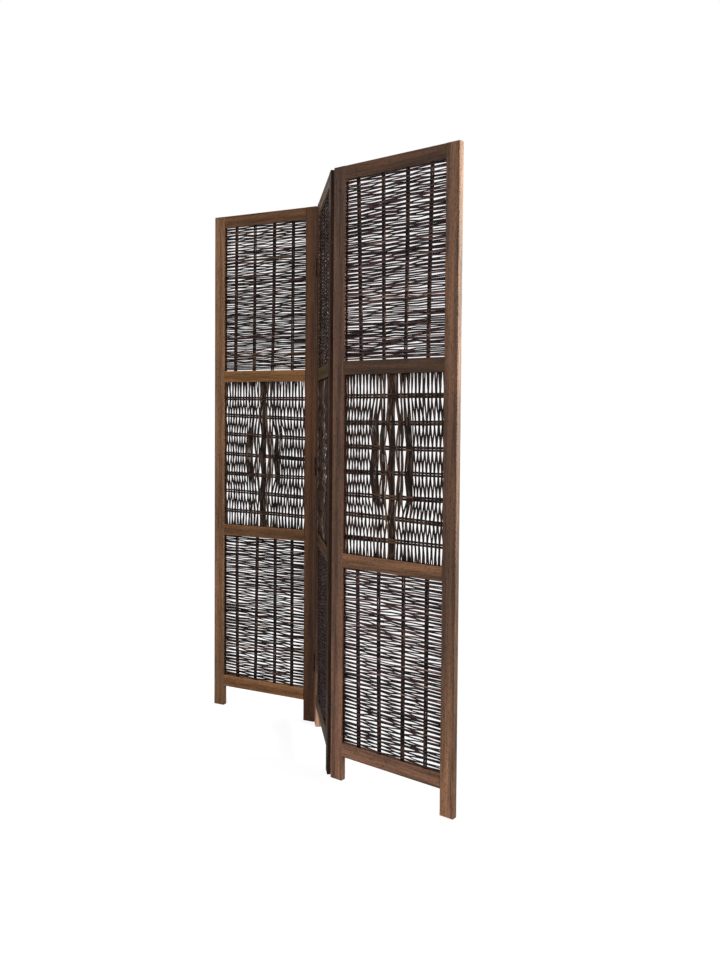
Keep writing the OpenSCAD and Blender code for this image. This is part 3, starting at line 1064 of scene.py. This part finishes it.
@dataclass(frozen=True)
class FigureField(Weave):
    """The middle field: withies that stand across rod pairs, some gathered in five bundles.

    open_pairs are the lowest and highest rod pair at which the figure stands open, counted
    from 0 at the bottom. The lifts are how far the pairs rise at the two stiles, and aside is
    how far the figure stands from the panel's middle, at its foot and at its head, all in
    millimetres. The rods bend by bend, out to bends_to bundle spacings where the figure is
    closed and where it is open, and fade out over fade of one. They rise and fall by rod_wave
    and waver at rod_rings rings, which reach past the figure. Each pair stands slack and its
    rods are stout against the usual sizes. A withy wanders from pair to pair and wavers from
    ring to ring, less so within soft of a stile, down to a share of held at it. Withies differ
    in thickness by spread.
    """

    open_pairs: tuple[int, int]
    lift_left: Floats
    lift_right: Floats
    aside: Pair
    drift: Drift = Drift(1.3 * MM, 0.05, 0.16)
    bend: float = 2.8 * MM
    bends_to: Pair = (1.1, 3.1)
    fade: float = 0.8
    slack: float = 0.2 * MM
    stout: float = 1.08
    rod_wave: float = 0.6 * MM
    rod_waver: float = 0.12 * MM
    rod_rings: int = 34
    past: float = 20 * MM
    wander: float = 0.55 * MM
    waver: float = 0.35 * MM
    soft: float = 14 * MM
    held: float = 0.1
    spread: float = 0.08
    # the rods here are lighter than in the upper and lower fields: painted light
    rod_tones_and_painted_light: Pair = (0.3, 0.9)
    ring_places: Floats = (0.0, 0.3, 0.5, 0.7, 1.0)

    def pair_places(self, xs: np.ndarray) -> np.ndarray:
        """Gives how high the rod pairs are at given places across the panel.

        z = level + left lift (1 - t) + right lift t + wave sin(5 t + its own start), with t
        from 0 at the left stile to 1 at the right one.

        Args:
            xs: Places across the panel.

        Returns:
            Heights of the shape (places, pairs).
        """
        count = WILLOW.cross_pair_count
        level = self.low + WILLOW.cross_pair_rise + np.arange(count) * WILLOW.cross_pair_spacing
        left, right = np.array(self.lift_left) * MM, np.array(self.lift_right) * MM
        start = np.random.default_rng(self.seed).uniform(0, 2 * np.pi, count)
        t = (xs / FRAME.open_w + 0.5)[:, None]
        return level + left * (1 - t) + right * t + self.rod_wave * np.sin(5 * t + start)

    def pair_bend(self, xs: np.ndarray) -> np.ndarray:
        """Gives how far the rod pairs bend away from the bundles, which are stiffer.

        Bundles next to each other pass on opposite sides, so a pair bends by
        y = -bend turn cos(pi x / spacing), fading out past the last gathered bundle.

        Args:
            xs: Places across the panel.

        Returns:
            Bends of the shape (places, pairs).
        """
        k = np.arange(WILLOW.cross_pair_count)
        away = np.abs(xs)[:, None] / FIGURE.bundle_spacing
        last = np.where(self.opened(k), self.bends_to[1], self.bends_to[0])
        fade = np.clip((last - away) / self.fade, 0, 1)
        return -self.bend * (-1.0) ** k * np.cos(np.pi * away) * fade

    def opened(self, k: np.ndarray) -> np.ndarray:
        """Tells at which rod pairs the figure stands open."""
        return (k >= self.open_pairs[0]) & (k <= self.open_pairs[1])

    def rods(self) -> Strands:
        """Lays out both rods of each pair.

        Returns:
            The rods.
        """
        rng = np.random.default_rng(self.seed + 1)
        close = 3 * FIGURE.bundle_spacing + self.past
        xs = np.array([-FRAME.reach, *np.linspace(-close, close, self.rod_rings), FRAME.reach])
        apart = WILLOW.cross_pair_gap + WILLOW.rod_d + 2 * self.slack
        zs = both_sides(self.pair_places(xs).T, apart)
        zs = zs + rng.normal(0, self.rod_waver, zs.shape)
        ys = np.tile(self.pair_bend(xs).T, (2, 1))
        line = np.stack([np.broadcast_to(xs, zs.shape), ys, zs], -1)
        thick = tapered(rng, zs.shape, self.stout * WILLOW.rod_d, WILLOW.rod_spread)
        tone = rng.uniform(*self.rod_tones_and_painted_light, len(zs))
        return Strands(line, thick, thick, tone, UP, sides=8)

    def layout(self) -> tuple[np.ndarray, np.ndarray, np.ndarray]:
        """Sets out every withy at the field's ends and over its rod pairs.

        Withy j outwards from the middle bundle stands evenly at (half a bundle + j + 1/2)
        pitches. Where the figure is open the bundles part, a withy stands at its bundle's
        centre plus its place in the bundle, and the withies beside the figure close up
        towards the stile. Loose withies take turns over the rods, and a gathered bundle
        passes them as one. All is moved aside by aside (1 - (x / half the opening)^2).

        Returns:
            Place across the panel of the shape (withies, pairs + 2), side at each pair, and
            number of the bundle.
        """
        each, count, pitch = FIGURE.bundle_count, FIGURE.side_count, WILLOW.upright_pitch
        k = np.arange(-1, WILLOW.cross_pair_count + 1)[None, :]
        j = np.arange(count)[:, None]
        bundle = np.minimum(LOOSE, j // each + 1)
        opened = self.opened(k)
        gathered = (bundle < LOOSE) & opened
        centre = bundle * np.where(opened, FIGURE.bundle_spacing, each * pitch)
        own = (j % each - (each - 1) / 2) * np.where(gathered, FIGURE.bundle_pitch, pitch)
        near = 2 * FIGURE.bundle_spacing + (FIGURE.bundle_w + WILLOW.upright_withy_w) / 2 + FIGURE.side_gap
        far = (each / 2 + count - 0.5) * pitch
        closed = far - (count - 1 - j) * (far - near) / (count - 1 - 2 * each)
        beside = np.where(opened, closed, (each / 2 + j + 0.5) * pitch)
        places = np.where(bundle < LOOSE, centre + own, beside)
        turn = (-1.0) ** k
        side = turn * (-1.0) ** np.where(gathered, bundle, j)
        middle = centred(each)[:, None] * FIGURE.bundle_pitch + 0 * k
        every = np.concatenate([-places[::-1], middle, places])
        aside = np.linspace(*self.aside, k.size) * MM
        every = every + aside * (1 - (2 * every / FRAME.open_w) ** 2)
        sides = np.concatenate([side[::-1], np.repeat(turn, each, 0), side])[:, 1:-1]
        return every, sides, np.concatenate([bundle[::-1, 0], np.zeros(each, int), bundle[:, 0]])

    def standing(self, bundles: tuple[int, ...], seed: int) -> Strands:
        """Grows the standing withies of some bundles.

        Between two pairs a withy goes straight across the panel, fans out by
        4 fan v (1 - v), and crosses from its side s to its side t by s + (t - s) u, with u
        halfway between v and (1 - cos(pi v)) / 2.

        Args:
            bundles: Their numbers.
            seed: Seed of their straying, added to the field's.

        Returns:
            The withies.
        """
        rng = np.random.default_rng(self.seed + seed)
        laid = self.layout()
        places, sides, bundle = (part[np.isin(laid[2], bundles)] for part in laid)
        bends = np.stack([self.pair_bend(p)[:, k] for k, p in enumerate(places[:, 1:-1].T)], 1)
        side, bent = (np.pad(values, ((0, 0), (1, 1))) for values in (sides, bends))
        level = np.pad(self.pair_places(places.mean(1)), ((0, 0), (1, 1)))
        level[:, 0], level[:, -1] = self.low - FRAME.seat_len, self.high + FRAME.seat_len
        strays, wavers, widths, fans = (
            np.array(values)[bundle][:, None]
            for values in (FIGURE.strays, FIGURE.wavers, FIGURE.widths, FIGURE.fans)
        )
        edge = np.clip((FRAME.open_w / 2 - np.abs(places)) / self.soft, self.held, 1)
        drift = self.drift.at(self.seed + 5, places, level)
        place = places + edge * (drift + strays * rng.normal(0, self.wander, places.shape))
        leans = np.abs(np.diff(places, axis=1)) >= FIGURE.upright_within
        own = np.tile(centred(FIGURE.bundle_count), len(places))[: len(places), None]
        fan = own * np.where(leans, FIGURE.leaning_fan, 1.0) * fans
        spans = level.shape[1] - 1
        half = WILLOW.cross_pair_gap / 2 + WILLOW.rod_d
        start = level[:, :-1] + half * (np.arange(spans) > 0)
        end = level[:, 1:] - half * (np.arange(spans) < spans - 1)
        row = np.repeat(np.arange(spans), len(self.ring_places))
        v = np.tile(self.ring_places, spans)
        eased = 0.5 * v + 0.25 * (1 - np.cos(np.pi * v))
        zs = start[:, row] + v * (end - start)[:, row]
        xs = between(place, row, v) + fan[:, row] * 4 * v * (1 - v)
        xs = xs + wavers * rng.normal(0, self.waver, xs.shape) * edge.min(1)[:, None]
        thick = tapered(rng, xs.shape, WILLOW.withy_t, self.spread)
        wide = widths * thick * WILLOW.upright_withy_w / WILLOW.withy_t
        depth = WILLOW.rod_d / 2 + WILLOW.snug + thick / 2
        ys = between(side, row, eased) * depth + between(bent, row, eased)
        tone = rng.uniform(*np.array([*FIGURE.tones, self.tones])[bundle].T)
        return Strands(np.stack([xs, ys, zs], -1), wide, thick, tone, RIGHT)


@dataclass(frozen=True)
class Strays:
    """How one panel's willow strays from even places, in millimetres, and its open pairs."""

    lower_foot: Floats = (0.0, 0.0, 0.0, 0.0)
    lower_head: Floats = (0.0, 0.0, 0.0, 0.0)
    upper_foot: Floats = (0.0, 0.0, 0.0, 0.0)
    upper_head: Floats = (0.0, 0.0, 0.0, 0.0)
    lift_left: Floats = (2.0, -2.0, 1.0, 0.0, 1.5, 0.0, 3.0)
    lift_right: Floats = (-1.0, 0.0, -2.0, 0.0, -3.0, -1.0, -2.0)
    aside: Pair = (0.0, 0.0)
    open_pairs: tuple[int, int] = (2, 4)


@dataclass(frozen=True)
class Panel:
    """One panel: its joinery and its three woven fields."""

    joinery: Joinery
    strays: Strays
    seed: int
    tones: Pair
    figure_tones: Pair

    def build(self, effects: Effects, barks: dict[str, Material], dowel: Material) -> None:
        """Dresses the wood and grows the willow.

        Args:
            effects: The shared shader groups.
            barks: The willow finishes by slot.
            dowel: Finish of the dowels.
        """
        self.joinery.dress(effects, dowel)
        place, strays = self.joinery.place, self.strays
        lower = (Bay.LOWER, self.seed, self.tones, strays.lower_foot, strays.lower_head)
        upper = (Bay.UPPER, self.seed + 10, self.tones, strays.upper_foot, strays.upper_head)
        for field in (CrossField(place, *lower), CrossField(place, *upper)):
            field.finish(Willow.RODS, field.rods(), barks)
            field.finish(Willow.WITHIES, field.withies(), barks)
        lifts = (strays.lift_left, strays.lift_right)
        middle = (Bay.MIDDLE, self.seed + 20, self.figure_tones)
        field = FigureField(place, *middle, strays.open_pairs, *lifts, strays.aside)
        field.finish(Willow.RODS, field.rods(), barks)
        field.finish(Willow.WITHIES, field.standing((LOOSE,), 4), barks)
        field.finish(Willow.BUNDLES, field.standing(GATHERED, 6), barks)


@dataclass(frozen=True)
class Hinges:
    """The butt hinges, with the metal of each kind of node by the end of its name."""

    metals: dict[str, MetalFinish]

    def dress(self) -> None:
        """Gives the metal of each kind its finish."""
        for kind, metal in self.metals.items():
            material = metal.material()
            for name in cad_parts:
                if name.endswith(f"_{kind}"):
                    dress(name, material)


# ---- studio ----


@dataclass(frozen=True)
class Viewpoint:
    """The photograph's camera, with the picture taken as 720 by 960 and angles in degrees."""

    picture_h: int = 960
    focal_px: float = 827.071
    horizon_px: float = 440.673
    place: Triple = (1.9245, -1.6124, 1.0209)
    yaw: float = -47.747
    pitch: float = -1.7853
    roll: float = 0.424
    sensor: float = 36.0

    def set_up(self) -> None:
        """Makes the camera, turned about its own axis, then level, then about the vertical."""
        data = bpy.data.cameras.new("photo_camera")
        data.sensor_width = self.sensor
        data.lens = self.focal_px * self.sensor / self.picture_h
        data.shift_y = (self.horizon_px - self.picture_h / 2) / self.picture_h
        turns = ((-self.yaw, "Z"), (90 + self.pitch, "X"), (self.roll, "Z"))
        yaw, pitch, roll = (Matrix.Rotation(math.radians(turn), 4, axis) for turn, axis in turns)
        camera = bpy.data.objects.new("photo_camera", data)
        camera.matrix_world = Matrix.Translation(self.place) @ yaw @ pitch @ roll
        bpy.context.scene.collection.objects.link(camera)
        bpy.context.scene.camera = camera


@dataclass(frozen=True)
class SoftBox:
    """One square area lamp, aimed at a point."""

    name: str
    place: Triple
    aim: Triple
    size: float
    watts: float
    spread: float = 180.0
    tint: Triple = (1.0, 1.0, 1.0)

    def hang(self) -> None:
        """Hangs the lamp."""
        data = bpy.data.lights.new(self.name, "AREA")
        data.size = self.size
        data.energy = self.watts
        data.spread = math.radians(self.spread)
        data.color = self.tint
        lamp = bpy.data.objects.new(self.name, data)
        lamp.location = self.place
        lamp.rotation_euler = (Vector(self.aim) - Vector(self.place)).to_track_quat("-Z", "Y").to_euler()
        bpy.context.scene.collection.objects.link(lamp)
        log.info("hung %s", lamp.name)


@dataclass(frozen=True)
class Studio:
    """Pale floor, white surroundings and soft lamps."""

    surround: float = 0.72
    floor_half: float = 9.0
    floor_share: float = 0.6
    floor_white: float = 1.3
    floor_paint: Colour = (0.86, 0.86, 0.86, 1.0)
    lamps: tuple[SoftBox, ...] = (
        SoftBox("front_box", (2.0, -4.4, 2.8), (0.0, 0.0, 0.8), size=2.6, watts=85.0),
        SoftBox(
            "end_box",
            (2.0, 0.62, 1.42),
            (0.56, -0.04, 1.38),
            size=0.5,
            watts=47.0,
            spread=80.0,
            tint=(0.8, 0.93, 1.0),
        ),
    )

    def build(self) -> None:
        """Sets up the surroundings, the floor and the lamps."""
        bpy.context.scene.view_settings.view_transform = "Standard"
        self.surroundings()
        self.floor()
        for lamp in self.lamps:
            lamp.hang()

    def surroundings(self) -> None:
        """Lights the screen at a plain level, and shows pure white to the camera and in gloss."""
        world = bpy.data.worlds.new("white_room")
        bpy.context.scene.world = world
        bench = clear_bench(world)
        path = bench.add("LightPath").outputs
        seen = bench.sum("MAXIMUM", path["Is Camera Ray"], path["Is Glossy Ray"])
        seen = bench.sum("MAXIMUM", seen, path["Is Transmission Ray"])
        level = bench.add("Background", {0: WHITE, 1: self.surround}).outputs[0]
        white = bench.add("Background", {0: WHITE, 1: 1.0}).outputs[0]
        mixed = bench.add("MixShader", {0: seen, 1: level, 2: white}).outputs[0]
        bench.add("OutputWorld", {0: mixed})

    def floor(self) -> None:
        """Lays the floor, white to the camera where no shadow falls on it."""
        mesh = bpy.data.meshes.new("studio_floor")
        half = self.floor_half
        corners = [(-half, -half, 0), (half, -half, 0), (half, half, 0), (-half, half, 0)]
        mesh.from_pydata(corners, [], [(0, 1, 2, 3)])
        floor = bpy.data.objects.new("studio_floor", mesh)
        bpy.context.scene.collection.objects.link(floor)
        material = bpy.data.materials.new("pale_floor")
        bench = clear_bench(material)
        seen = bench.add("LightPath").outputs["Is Camera Ray"]
        share = bench.sum("MULTIPLY", seen, self.floor_share)
        paint = bench.add("BsdfDiffuse", {0: self.floor_paint}).outputs[0]
        white = bench.add("Emission", {0: WHITE, 1: self.floor_white}).outputs[0]
        mixed = bench.add("MixShader", {0: share, 1: paint, 2: white}).outputs[0]
        bench.add("OutputMaterial", {0: mixed})
        mesh.materials.append(material)


# ---- finishes ----

# each member's colour is part stain and part painted light and shade, and its shades paint it lighter or
# darker up its length where light or shade falls on it
LEFT_STAINS_AND_LIGHT = {
    "stile_outer": StainAndLight(106, 76, 52, (0.9, 1.0, 0.9, 1.1, 1.05)),
    "stile_hinged": StainAndLight(70, 43, 25, (1.0, 1.0, 1.2, 1.0, 0.95)),
    "top_rail": StainAndLight(82, 54, 33),
    "upper_mid_rail": StainAndLight(118, 80, 45),
    "lower_mid_rail": StainAndLight(92, 62, 37),
    "bottom_rail": StainAndLight(113, 77, 48),
}
MIDDLE_STAINS_AND_LIGHT = {
    # a painted pool of light at this stile's foot, many times lighter than the rest of the stile
    "stile_left": StainAndLight(54, 38, 29, (7.5, 1.8, 1.2, 1.0, 1.0, 1.0, 1.0, 1.0, 1.0)),
    "stile_right": StainAndLight(50, 35, 26),
    "top_rail": StainAndLight(76, 57, 39),
    "upper_mid_rail": StainAndLight(70, 52, 35),
    "lower_mid_rail": StainAndLight(66, 49, 34),
    "bottom_rail": StainAndLight(68, 51, 37),
}
RIGHT_STAINS_AND_LIGHT = {
    "stile_hinged": StainAndLight(85, 58, 43, (2.0, 1.1, 0.9, 0.85, 0.55)),
    "stile_outer": StainAndLight(88, 61, 43, (2.6, 0.8, 0.8, 1.15, 1.05)),
    "top_rail": StainAndLight(65, 41, 24),
    "upper_mid_rail": StainAndLight(65, 42, 25),
    "lower_mid_rail": StainAndLight(106, 72, 48),
    "bottom_rail": StainAndLight(106, 73, 54),
}

# tones below one half are browner willow, those above it plum-coloured
WITHY_BARK = BarkFinish(
    "withy_bark",
    (
        (0.0, tint(24, 15, 12)),
        (0.26, tint(36, 25, 21)),
        (0.34, tint(58, 39, 32)),
        (0.40, tint(34, 23, 20)),
        (0.46, tint(52, 39, 34)),
        (0.49, tint(90, 65, 54)),
        (0.51, tint(32, 20, 20)),
        (0.78, tint(46, 34, 35)),
        (0.86, tint(72, 50, 46)),
        (0.90, tint(42, 30, 31)),
        (0.96, tint(72, 57, 58)),
        (1.0, tint(112, 84, 78)),
    ),
    pale=tint(118, 92, 84),
    patch=0.14,
)
ROD_BARK = BarkFinish(
    "rod_bark",
    ((0.0, tint(24, 14, 11)), (0.5, tint(36, 23, 18)), (1.0, tint(66, 45, 34))),
    pale=tint(130, 96, 72),
    patch=0.3,
    girth=18.2 * MM,
)
# tones below one half are the dark bundles, those above it the paler ones beside the middle
BUNDLE_BARK = BarkFinish(
    "bundle_bark",
    (
        (0.0, tint(18, 12, 9)),
        (0.26, tint(28, 19, 15)),
        (0.4, tint(42, 29, 23)),
        (0.49, tint(24, 16, 13)),
        (0.51, tint(26, 18, 15)),
        (0.66, tint(46, 34, 28)),
        (0.76, tint(29, 21, 17)),
        (0.9, tint(92, 68, 52)),
        (1.0, tint(32, 23, 20)),
    ),
    pale=tint(126, 98, 80),
    patch=0.24,
)

BARKS = {"willow_withy": WITHY_BARK, "willow_rod": ROD_BARK, "bundled_willow": BUNDLE_BARK}
METALS = {
    "leaves": MetalFinish("leaf_metal", tint(48, 38, 29), tint(74, 60, 46)),
    "pins": MetalFinish("pin_metal", tint(60, 48, 37), tint(92, 78, 60), rough=0.34),
    "screws": MetalFinish("screw_metal", tint(66, 54, 42), tint(100, 86, 66), rough=0.38),
}

LEFT_STRAYS = Strays(
    lower_foot=(6.0, 2.5, 5.0, -3.0),
    lower_head=(1.5, 10.0, 5.0, -3.5),
    upper_foot=(-7.0, -5.5, -8.5, -6.0),
    upper_head=(-2.5, -3.5, -1.5, -3.5),
    lift_left=(1.0, 4.5, 0.5, 6.0, 10.5, 11.0, 4.5),
    lift_right=(-6.0, -5.0, -4.0, -7.0, -2.0, -1.5, 2.0),
    aside=(-5.0, -5.0),
)
RIGHT_STRAYS = Strays(
    lower_foot=(5.5, 0.5, 1.0, -2.5),
    lower_head=(-2.0, -6.0, 0.0, -2.0),
    upper_foot=(5.5, 6.0, 0.0, -6.0),
    upper_head=(-9.0, -0.5, 2.5, 2.5),
    lift_left=(-3.0, -2.0, -13.0, -13.5, -8.0, -8.0, 2.0),
    lift_right=(2.0, -6.0, -9.0, -9.5, -8.5, -4.0, 1.0),
    aside=(0.0, -8.0),
    open_pairs=(2, 5),
)


def main() -> None:
    """Builds the camera, the studio, the panels and the hinges in order."""
    logging.basicConfig(level=logging.INFO, format="%(name)s: %(message)s")
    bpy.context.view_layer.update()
    Viewpoint().set_up()
    Studio().build()
    effects = Effects()
    barks = {slot: finish.material(effects) for slot, finish in BARKS.items()}
    left = Standing.of(Wing.LEFT, degrees=22.2)
    middle = Standing.of(Wing.MIDDLE, degrees=-34.0)
    right = Standing.of(Wing.RIGHT, degrees=10.5)
    peg = Member(middle, GrainWay.ACROSS, Vector((0, 0, 0)))
    dowel = WoodFinish().material("bare_dowel", effects, peg, StainAndLight(176, 141, 98))
    left_wood = Joinery(left, WoodFinish(gloss=0.14), LEFT_STAINS_AND_LIGHT)
    middle_wood = Joinery(middle, WoodFinish(gloss=0.03), MIDDLE_STAINS_AND_LIGHT)
    right_wood = Joinery(right, WoodFinish(fibres=290.0, pore=0.35), RIGHT_STAINS_AND_LIGHT)
    panels = (
        Panel(left_wood, LEFT_STRAYS, seed=100, tones=(0.0, 0.5), figure_tones=(0.0, 0.29)),
        Panel(middle_wood, Strays(), seed=200, tones=(0.5, 0.72), figure_tones=(0.0, 0.29)),
        Panel(right_wood, RIGHT_STRAYS, seed=300, tones=(0.5, 1.0), figure_tones=(0.0, 0.42)),
    )
    for panel in panels:
        panel.build(effects, barks, dowel)
    Hinges(METALS).dress()


if __name__ == "__main__":
    main()
